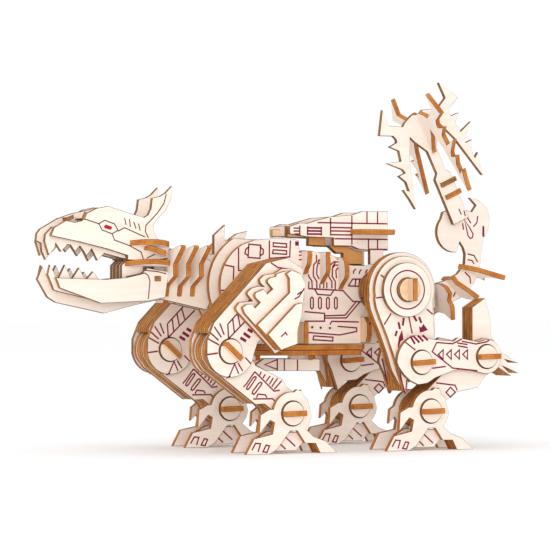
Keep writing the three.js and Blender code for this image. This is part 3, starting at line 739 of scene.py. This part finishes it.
TABS_ON_ARROW = ((30, "umber", "upper"), (22, "orange", "lower"))  # place along it, edge, name
TAIL_COLLAR = pts("-10,0 -10,7 -6,6 0,12 6.5,17 7,8 5,0")
TAIL_COLLAR_FRONT = pts("-8,0 -8,5 -6,11 -2,15 2,13 6,16 14,15 10,7 9,0")
TAIL_FAN = pts("-11,0 -7,5 -2,9 4,10 9,11 15.6,12 11,6 9,0")


def arrow_point(q, p):
    """A point given along and beside the arrow, in (x, z)."""
    turn = math.radians(ARROW_TILT - 90)
    cos, sin = math.cos(turn), math.sin(turn)
    return (ARROW_AT[0] + p * cos - q * sin, ARROW_AT[1] + p * sin + q * cos)


def make_tail():
    stem = Piece("tail_stem")
    stem.sheet(STEM, along(STEM_Y))
    both_faces(stem, STEM_INK, STEM_Y, HALF_SHEET)
    both_faces(stem, [TEARDROP], STEM_Y, HALF_SHEET, TAIL_INK_WIDTH)
    stem.done("torso", "tail_stem")
    blade = Piece("tail_arrow_side")
    blade.sheet([arrow_point(q, p) for q, p in mirrored(ARROW_SHAFT + ARROW_HEAD)], along(0))
    both_faces(blade, SHAFT_DASHES, 0, HALF_SHEET, TAIL_INK_WIDTH)
    blade.done("torso", "tail_arrow_side")
    cross = Piece("tail_arrow_cross", "orange")
    cross.sheet(mirrored([(50, 0), (50, 3.5)] + ARROW_HEAD[:-1] + [(75, 0)]), tilted(ARROW_AT, ARROW_TILT))
    cross.done("torso", "tail_arrow_cross")
    for q, wall, word in TABS_ON_ARROW:
        tab = Piece(f"tail_tab_{word}", wall)
        tab.sheet(box(-4, 7, -3, 3), tilted(arrow_point(q, 0), ARROW_TILT - 90))
        tab.done("torso")
    for name, outline, origin, tilt in (
        ("tail_collar", TAIL_COLLAR, (122, 96.2), -47),
        ("tail_fan", TAIL_FAN, (133, 107.6), -15.5),
    ):
        piece = Piece(name, "orange")
        piece.sheet(mirrored(outline), tilted(origin, tilt))
        piece.done("torso", name, slot="burnt_edge")
    front = Piece("tail_collar_front", "orange")
    front.sheet(mirrored(TAIL_COLLAR_FRONT), tilted((108.6, 92), -83))
    front.done("torso")


# ---------------------------------------------------------------- pins

def make_pin(name, at, degrees, y, body):
    """Round sheets threaded on a keyed bar, whose ends stand out of the outer discs."""
    rounds = Piece(name)
    rounds.stack([circle(at, PIN_R, ROUND_STEPS)] * PIN_SHEETS, along(y), PIN_FACE)
    rounds.done(body, name, slot="burnt_edge")
    # the key's tan face is painted shade
    key = Piece(f"{name}_key", "orange", "tan")
    across, far, near = KEY_HALF_WIDTH, y + KEY_END, y - KEY_END
    key.sheet([(-across, far), (across, far), (across, near), (-across, near)], tilted(at, degrees))
    key.done(body)


SHOULDER_SHEETS = 34
HIP_SHEETS = 39
SHOULDER_BOSS_Y = (FRONT_LEG_Y + 5.6) / 2  # the bosses fill the gap between the torso and a leg
HIP_BOSS_Y = (HIND_LEG_Y + 8.6) / 2
RING_GAP = 0.3  # between a thigh and its ring
RING_R = 15.5
RING_HOLE_R = PIN_R + 0.1
RING_INK_R = 11
RING_INK_WIDTH = 0.8


def make_axles():
    # the axles' tan faces are painted shade
    shoulder = Piece("shoulder_axle", face="tan")
    hip = Piece("hip_axle", face="tan")
    rings = Piece("hip_rings")
    ring_face = HIND_LEG_Y + CORE_HALF + RING_GAP
    hip_end = ring_face + 2 * SHEET
    shoulder_pin, hip_pin = [circle(at, PIN_R, ROUND_STEPS) for at in (SHOULDER, HIP)]
    shoulder.stack([shoulder_pin] * SHOULDER_SHEETS, along(0), FRONT_LEG_Y + CLEVIS_OUT)
    hip.stack([hip_pin] * HIP_SHEETS, along(0), hip_end)
    for side, _ in SIDES:
        shoulder.stack([circle(SHOULDER, 11)] * 4, along(side * SHOULDER_BOSS_Y), 6.5)
        hip.stack([circle(HIP, 12)] * 5, along(side * HIP_BOSS_Y), 8)
        place = along(side * (ring_face + HALF_SHEET))
        rings.sheet(circle(HIP, RING_R, 56), place, holes=[circle(HIP, RING_HOLE_R, ROUND_STEPS)])
        rings.line(circle(HIP, RING_INK_R, 48), place, side * HALF_SHEET, side, RING_INK_WIDTH, closed=True)
    shoulder.done("torso", "shoulder_axle", slot="burnt_edge")
    hip.done("torso", "hip_axle", slot="burnt_edge")
    rings.done("torso")
    # the key's tan face is painted shade
    key = Piece("hip_axle_key", "orange", "tan")
    for side, _ in SIDES:
        bar = box(-KEY_HALF_WIDTH, KEY_HALF_WIDTH, side * (hip_end - 1), side * (hip_end + 6.3))
        key.sheet(bar, tilted(HIP, 90))
    key.done("torso")


# ---------------------------------------------------------------- feet

ANKLE_RING = (
    arc((0, 0), 12, 38, 56, 3)
    + pts("5.8,13.2 4.6,12.8 2.8,13.4 0.9,12")
    + arc((0, 0), 12.2, 98, 168, 8)
)
SPUR_AND_TOE_NEAR = pts("-14.4,2.4 -20,-0.5 -20.6,-11 -14,-3.6 -11.3,-5 -12.5,-11.3 -24,-13.8 -29,-22.5")
SPUR_AND_TOE_FAR = pts("-14.9,0.5 -15.6,-7.7 -11.8,-4 -10.6,-6 -11.5,-11 -22.1,-13 -27.1,-22.5")
ARCH_AND_HEEL = (
    pts(
        "-14.4,-22.5 -9.8,-20 -4.1,-13 -1.6,-9.8 2.9,-9.8 7.8,-16.8 14.3,-17 17.2,-22.5 28,-22.5 21,-16 "
        "13,-13"
    )
    + arc((0, 0), 12, 313, 355, 5)
)
ARCH_WEB = pts("-13,-21 -13,-14 -7,-10.6 6,-10.6 8.8,-15.5 3.5,-21")
HEEL_PAD = pts("14.3,-17 17.2,-22.5 23,-22.5 20,-17")
HEEL_PAD_DEPTH = 7.7
FOOT_INK = ["-25.3,-20 -23,-16.2 -20,-16.5 -21.5,-21", "-18.5,-21 -16.5,-17.3 -14.5,-17.8 -16,-21.4 z"]
ARCH_INK = ["-4.5,-12 3,-18.5", "-7,-16.5 -3,-20"]


def shifted(stroke, at):
    """A stroke's text, moved so that its (0, 0) comes to at."""
    words = []
    for word in stroke.split():
        if "," in word:
            x, z = word.split(",")
            word = f"{float(x) + at[0]},{float(z) + at[1]}"
        words.append(word)
    return " ".join(words)


def make_foot(prefix, pin_name, at, side, leg_y):
    """Two hooked plates on the lowest pin of a leg, which turns with them."""
    hole = circle(at, HOLE_R, ROUND_STEPS)
    for word, out in (("outer", side), ("inner", -side)):
        plate = Piece(f"{prefix}_foot_{word}", "orange")
        y = side * leg_y + out * CLEVIS_Y
        place = along(y)
        web = along(y - out * SHEET)
        spur_and_toe = SPUR_AND_TOE_NEAR if out < 0 else SPUR_AND_TOE_FAR
        plate.sheet(placed(ANKLE_RING + spur_and_toe + ARCH_AND_HEEL, at), place, holes=[hole])
        plate.ink([shifted(stroke, at) for stroke in FOOT_INK], place, out * HALF_SHEET, out)
        plate.sheet(placed(ARCH_WEB, at), web)
        plate.ink([shifted(stroke, at) for stroke in ARCH_INK], web, out * HALF_SHEET, out)
        if out < 0:
            plate.sheet(placed(HEEL_PAD, at), place, HALF_SHEET, HALF_SHEET + HEEL_PAD_DEPTH)
        plate.done(f"{prefix}_foot", f"{prefix}_foot_{word}")
    make_pin(f"{prefix}_{pin_name}", at, 2, side * leg_y, f"{prefix}_foot")


# ---------------------------------------------------------------- front legs

UPPER_ARM = (
    pts("-68.2,67 -64,77 -32.2,110 -19.2,113 -9.2,107 -8.2,90 -21.2,76 -37.2,66")
    + arc(ELBOW, 14.5, -5, -170, 12)
)
UPPER_ARM_CORE = (
    pts("-66.5,73 -64,77 -32,110 -19,113 -9,107 -8,90 -21,76 -34,68")
    + arc(ELBOW, 15.6, 15, 140, 12)
)
UPPER_ARM_INK = [
    "-55.7,76 -39.7,92", "-55.2,68 -38.2,84", "-55.7,76 -55.2,68", "-52.7,79 -51.7,71.5",
    "-49.7,82 -48.2,75", "-46.7,85 -44.7,78.5", "-29.2,110.2 -24.8,107.6 -18.8,106.8",
    "-55,46.5 -51.5,54 -49,48.5", "-49.5,54.5 -46.5,50", "-45,57.5 -41.5,54", "-56.5,46.3 -54,47.3",
]
UPPER_ARM_BARS = ["-48,68.5 -44.5,66.5", "-46,71 -42,68.5", "-43.5,73.2 -40.5,71.5"]
UPPER_ARM_BAR_WIDTH = 1.7
RAY_WIDTH = 0.9
# Lines round the elbow: degrees, inner and outer radius
RAYS = ((187, 7.8, 14.2), (153, 7.8, 15.2), (140, 9.5, 16), (126, 9.5, 16.8), (113, 10, 16.8))
FOREARM = (
    pts("-63,50.5 -37,31.2 -31.5,31.5 -27.6,28.4 -24.5,22.5")
    + arc(WRIST, 9.5, 215, 370, 10)
    + pts("-7.6,34 -18,41 -20,45 -37,53")
    + arc(ELBOW, 14, -10, 200, 18)
)
FOREARM_STEPS = (0, -0.7, -0.2, -0.2, -0.7, 0)  # how far each sheet is grown
FOREARM_INK = [
    "-37.5,49.5 -42.5,43 -44.5,41", "-37.5,49.5 -25.5,38.5 -22,39", "-34.5,47.5 -33.5,49.5",
    "-32.5,45.8 -31,48", "-30.5,44 -28,47", "-28.5,42.3 -26,46", "-27,41 -23.3,45.8", "-25.5,39.5 -20.8,44.3",
    "-36.5,35 -35.5,37 -31,36.5 -30,35", "-38.5,34.3 -26.5,34.3 -24,32",
    "-37,45.5 -36.6,46.4 -37.4,46.8 -38.6,46 -42.2,41.2 -42.6,40 -41.8,39.6 -40.8,40.4 z",
    "-33.4,42.2 -33.1,43.2 -34,43.6 -35.2,42.9 -38.8,38.6 -39.1,37.4 -38.2,36.9 -37.2,37.6 z",
]
ARMOR = pts(
    "-52,83.5 -52.3,85.3 -50.2,88 -46.1,88.5 -42.1,88.8 -43.7,90.7 -45.5,92.8 -44.6,94.4 -42.6,96 "
    "-38.4,97.1 -34.6,96.6 -37.2,98.7 -37.8,100.8 -35.2,103.2 -28.6,104.4 -24,107 -18,107 -12,104 -9,98 "
    "-9.8,96 -11.5,81.5 -14.3,72 -14.3,65 -22.5,63.8 -26,60.5 -28.5,59.5 -30,61.6"
)
FIST = pts(
    "-48.4,82.1 -49.6,85.3 -46.9,87 -43.4,87.2 -42,84.9 -38.7,88 -41.6,90.6 -42.2,92.2 -41.3,93.6 "
    "-36.6,95.4 -34.4,92.7 -31,95.5 -34.4,99.2 -34.1,100.8 -32.2,101.9 -29.2,102.4 -28.6,104 -23.2,105.7 "
    "-20.3,105.7 -14.9,104 -11.9,98 -14.4,81.5 -17.2,72 -17.2,65 -28.6,61.6"
)
UPPER_STEP = pts(
    "-42,75.6 -22,93.4 -22.2,101.5 -24,104 -20.9,106 -14.9,104 -11.9,98 -12.7,96 -14.4,81.5 -17.2,72 "
    "-17.2,65 -25.4,62.5 -28.6,61.6"
)
LOWER_STEP = pts("-36.9,70.2 -19.6,87 -15.5,88 -15.9,81.5 -18.7,72 -18.7,65 -26.9,62.3 -28.6,61.6")
UPPER_STEP_INK = ["-19,89.9 -16.3,91.3 -13,95.9", "-17.5,92.4 -14.2,94.3"]
LOWER_STEP_INK = ["-28.9,69 -26.2,71.4 -25,69.8"]
ARMOR_STEPS = ((FIST, ()), (UPPER_STEP, UPPER_STEP_INK), (LOWER_STEP, LOWER_STEP_INK))
ARMOR_GAP = 0.3  # between the armour and the arm
STEP_LOW = -1.48  # a step is a hair thinner than a sheet, so its two faces meet nothing in their plane
STEP_HIGH = 1.44


def make_front_leg(side, word):
    """A forked upper arm with stepped armour, a solid forearm between its plates, and a foot."""
    prefix = f"front_{word}"
    y = side * FRONT_LEG_Y
    arm = f"{prefix}_arm"
    elbow, wrist, shoulder = [circle(at, HOLE_R, ROUND_STEPS) for at in (ELBOW, WRIST, SHOULDER)]
    for layer, out in (("outer", side), ("inner", -side)):
        plate = Piece(f"{prefix}_upper_arm_{layer}", "gold" if layer == "inner" else "umber")
        place = along(y + out * CLEVIS_Y)
        plate.sheet(UPPER_ARM, place, holes=[elbow, shoulder])
        plate.ink(UPPER_ARM_INK, place, out * HALF_SHEET, out)
        plate.ink(UPPER_ARM_BARS, place, out * HALF_SHEET, out, UPPER_ARM_BAR_WIDTH)
        for degrees, *ends in RAYS:
            ray = [around(ELBOW, radius, degrees) for radius in ends]
            plate.line(ray, place, out * HALF_SHEET, out, RAY_WIDTH)
        if layer == "inner":
            plate.stack([UPPER_ARM_CORE] * LIMB_SHEETS, along(y), CORE_HALF, [shoulder])
        plate.done(arm, f"{prefix}_upper_arm_{layer}")

    limb = Piece(f"{prefix}_forearm", "gold")
    limb.stack([grown(FOREARM, step) for step in FOREARM_STEPS], along(y), CORE_HALF, [elbow, wrist])
    both_faces(limb, FOREARM_INK, y, CORE_HALF - GLUE_GAP / 2)
    limb.done(f"{prefix}_forearm_body", f"{prefix}_forearm")
    make_pin(f"{prefix}_elbow_pin", ELBOW, -42, y, arm)

    cover = Piece(f"{prefix}_shoulder_armor", "gold")
    base = CLEVIS_OUT + ARMOR_GAP + HALF_SHEET
    cover.sheet(ARMOR, along(y + side * base))
    for n, (outline, strokes) in enumerate(ARMOR_STEPS, 1):
        place = along(y + side * (base + n * SHEET))
        cover.sheet(outline, place, STEP_LOW, STEP_HIGH)
        cover.ink(strokes, place, side * STEP_HIGH, side)
    cover.done(arm, f"{prefix}_shoulder_armor")
    make_foot(prefix, "wrist_pin", WRIST, side, FRONT_LEG_Y)


# ---------------------------------------------------------------- hind legs

THIGH = (
    arc(HIP, 19.3, -20, 190, 26)
    + pts("37.3,90 38.3,85 40.3,80 44.8,70 48.7,60 52,50 55.3,40 56,37.5 57.8,37.5 59,41")
    + arc(KNEE, 11, 230, 360, 10)
    + pts("76,72")
)
THIGH_STEPS = (0, 2.3, 2.3, -2.2, -2.2, -2.2)  # how far each sheet is grown, from the outer face in
THIGH_INK = [
    "47.8,82 43.2,75.5", "38,90.8 42,91.2", "41,104 43.5,102.2", "59.3,80 61.5,70.5", "71,84.5 75,81.5",
    "f 54.8,72.5 55.5,69.5 55.8,67 54,66 53,63.5 52.3,60.5 52,64 52.8,68.5",
    "f 66,74.5 66.5,71 69,71.5 71.8,72.5 68.8,76 67.5,74",
    "51.5,56 55,42 57,36", "58,44 57.3,38",
]
THIGH_DASHES = [
    "52.5,77 53.5,73", "56,79.5 55.3,75", "62.5,80.5 64.5,77.5", "66,80 67.5,76.5", "51.5,72 50.5,69",
]
THIGH_DASH_WIDTH = 1.4
SHANK_TOP = (
    pts("69.7,42 74.7,45 86.7,49 93.7,50")
    + arc(HOCK, 10, 262, 450, 16)
    + pts("103.5,65.5 89.7,68 86.7,66 74.7,67")
    + arc(KNEE, 16, 105, 180, 10)
)
SHANK_OUTER = SHANK_TOP + pts("50.9,51.5 54.4,47 58.4,43.5 63.5,41.2")
SHANK_INNER = SHANK_TOP + pts("53,47.5 57.1,35.6 62.5,41.5")
SHANK_INK = [
    "75.7,65.3 86.2,64.5 92.2,67.2", "75.7,65.3 72.7,60 86.2,50.5 102.7,48.8",
    "72.7,50.5 81.7,51.5", "92.2,66 101.7,64.3 108.7,65.5 110.7,66.5", "89.2,65 96.2,64",
    "89.7,63.3 96.2,62.3", "55.2,65.5 61.7,61",
]
SHANK_HATCHES = ["58.4,69 61.4,64.5", "60.4,69 64.4,65.3", "63.2,69.3 66.9,66", "66.4,69.5 69.9,66.5"]
SHANK_HATCH_WIDTH = 1.3
SHANK_ARROWS = [f"{x + 3.2},61 {x},58.4 {x + 3.2},55.6 z" for x in (76.7, 82.1, 87.5, 92.9)]
METATARSUS = (
    arc(ANKLE, 9.5, 128, 310, 14)
    + pts(
        "82.7,31 90.7,36.5 104.7,39 110.7,46 118.7,50.5 127.7,45.5 120.7,52 132.7,47 122.7,55.5 132.7,53 "
        "119.7,60 115.7,70 115.2,80 111.7,91 103,85.5 103,66"
    )
)
METATARSUS_INK = ["86.7,39.3 90,36.5 86.7,33.7 83.7,36.5 z", "77.2,42 89.7,40.5 91.2,37.5"]
# The metatarsus's outermost sheets end below its spur
SPURLESS = [point for point in METATARSUS if point[1] < 65] + pts("116,66.5 109,67.8 103,66")
METATARSUS_LAYERS = [SPURLESS] + [METATARSUS] * (LIMB_SHEETS - 2) + [SPURLESS]


def clear_of_knee(point):
    """True where the thigh's sheets may differ in size; round the knee they all match."""
    return point[0] < 54 or point[1] > 66


def thigh_layer(growth):
    """The thigh's outline, grown away from the knee."""
    return [new if clear_of_knee(old) else old for old, new in zip(THIGH, grown(THIGH, growth))]


def make_hind_leg(side, word):
    """A solid thigh, a shank of two plates, a solid metatarsus between them, and a foot."""
    prefix = f"hind_{word}"
    y = side * HIND_LEG_Y
    thigh, shank = f"{prefix}_thigh_body", f"{prefix}_shank"
    face = CORE_HALF - GLUE_GAP / 2
    hip, knee, hock, ankle = [circle(at, HOLE_R, ROUND_STEPS) for at in (HIP, KNEE, HOCK, ANKLE)]

    upper = Piece(f"{prefix}_thigh", "gold")
    steps = THIGH_STEPS if side < 0 else THIGH_STEPS[::-1]
    upper.stack([thigh_layer(growth) for growth in steps], along(y), CORE_HALF, [hip, knee])
    both_faces(upper, THIGH_INK, y, face)
    both_faces(upper, THIGH_DASHES, y, face, THIGH_DASH_WIDTH)
    upper.done(thigh, f"{prefix}_thigh")
    make_pin(f"{prefix}_knee_pin", KNEE, 4, y, thigh)

    for layer, out in (("outer", side), ("inner", -side)):
        plate = Piece(f"{prefix}_shank_{layer}")
        place = along(y + out * CLEVIS_Y)
        plate.sheet(SHANK_OUTER if layer == "outer" else SHANK_INNER, place, holes=[knee, hock])
        plate.ink(SHANK_INK, place, out * HALF_SHEET, out)
        plate.ink(SHANK_HATCHES, place, out * HALF_SHEET, out, SHANK_HATCH_WIDTH)
        plate.ink(SHANK_ARROWS, place, out * HALF_SHEET, out)
        plate.done(shank, f"{prefix}_shank_{layer}")
    make_pin(f"{prefix}_hock_pin", HOCK, 2, y, shank)

    lower = Piece(f"{prefix}_metatarsus", "gold")
    lower.stack(METATARSUS_LAYERS, along(y), CORE_HALF, [hock, ankle])
    both_faces(lower, METATARSUS_INK, y, face)
    lower.done(f"{prefix}_metatarsus_body", f"{prefix}_metatarsus")
    make_foot(prefix, "ankle_pin", ANKLE, side, HIND_LEG_Y)


# ---------------------------------------------------------------- floor, light and camera

FLOOR_REACH = 40  # metres, as are the places and sizes of the lamps
SKY_STRENGTH = 1.01
LAMPS_LOOK_AT = Vector((0, 0, 0.1))
# Name, place, diameter and watts
LAMPS = (("softbox", (-0.9, -1.1, 1.5), 1.2, 3), ("fill", (-0.7, -1.5, 0.35), 0.9, 7))
LENS = 168.6
CAMERA_AT = (-657.6, -1348.2, 81)  # in the outlines' millimetres
CAMERA_TURN = 26  # degrees from +Y towards +X
CAMERA_TILT = 0.88  # degrees upwards


def make_floor():
    mesh = bpy.data.meshes.new("floor")
    far = FLOOR_REACH
    mesh.from_pydata([(-far, -far, 0), (far, -far, 0), (far, far, 0), (-far, far, 0)], [], [(0, 1, 2, 3)])
    paper = Nodes("floor_white", 0.9)
    mesh.materials.append(paper.base(colour(253, 253, 253)))
    floor = bpy.data.objects.new("floor", mesh)
    bpy.context.scene.collection.objects.link(floor)


def make_lamp(name, location, size, watts):
    lamp = bpy.data.lights.new(name, "AREA")
    lamp.shape = "DISK"
    lamp.size = size
    lamp.energy = watts
    thing = bpy.data.objects.new(name, lamp)
    thing.location = location
    thing.rotation_mode = "QUATERNION"
    thing.rotation_quaternion = (LAMPS_LOOK_AT - Vector(location)).to_track_quat("-Z", "Y")
    bpy.context.scene.collection.objects.link(thing)


def make_light():
    world = bpy.data.worlds.new("studio")
    world.use_nodes = True
    sky = world.node_tree.nodes["Background"]
    sky.inputs["Color"].default_value = (1, 1, 1, 1)
    sky.inputs["Strength"].default_value = SKY_STRENGTH
    bpy.context.scene.world = world
    for lamp in LAMPS:
        make_lamp(*lamp)


def make_camera():
    lens = bpy.data.cameras.new("camera")
    lens.lens = LENS
    lens.sensor_width = 36
    lens.clip_start = 0.05
    lens.clip_end = 200
    eye = bpy.data.objects.new("camera", lens)
    turn, tilt = math.radians(CAMERA_TURN), math.radians(CAMERA_TILT)
    ahead = Vector((math.sin(turn) * math.cos(tilt), math.cos(turn) * math.cos(tilt), math.sin(tilt)))
    x, y, z = CAMERA_AT
    eye.location = ((x + ORIGIN_X) / 1000, y / 1000, (z + ORIGIN_Z) / 1000)
    eye.rotation_mode = "QUATERNION"
    eye.rotation_quaternion = ahead.to_track_quat("-Z", "Y")
    bpy.context.scene.collection.objects.link(eye)
    bpy.context.scene.camera = eye


make_head()
make_neck()
make_torso()
make_device()
make_tail()
make_axles()
for leg_side, leg_word in SIDES:
    make_front_leg(leg_side, leg_word)
    make_hind_leg(leg_side, leg_word)
make_floor()
make_light()
make_camera()
bpy.context.scene.view_settings.view_transform = "Standard"
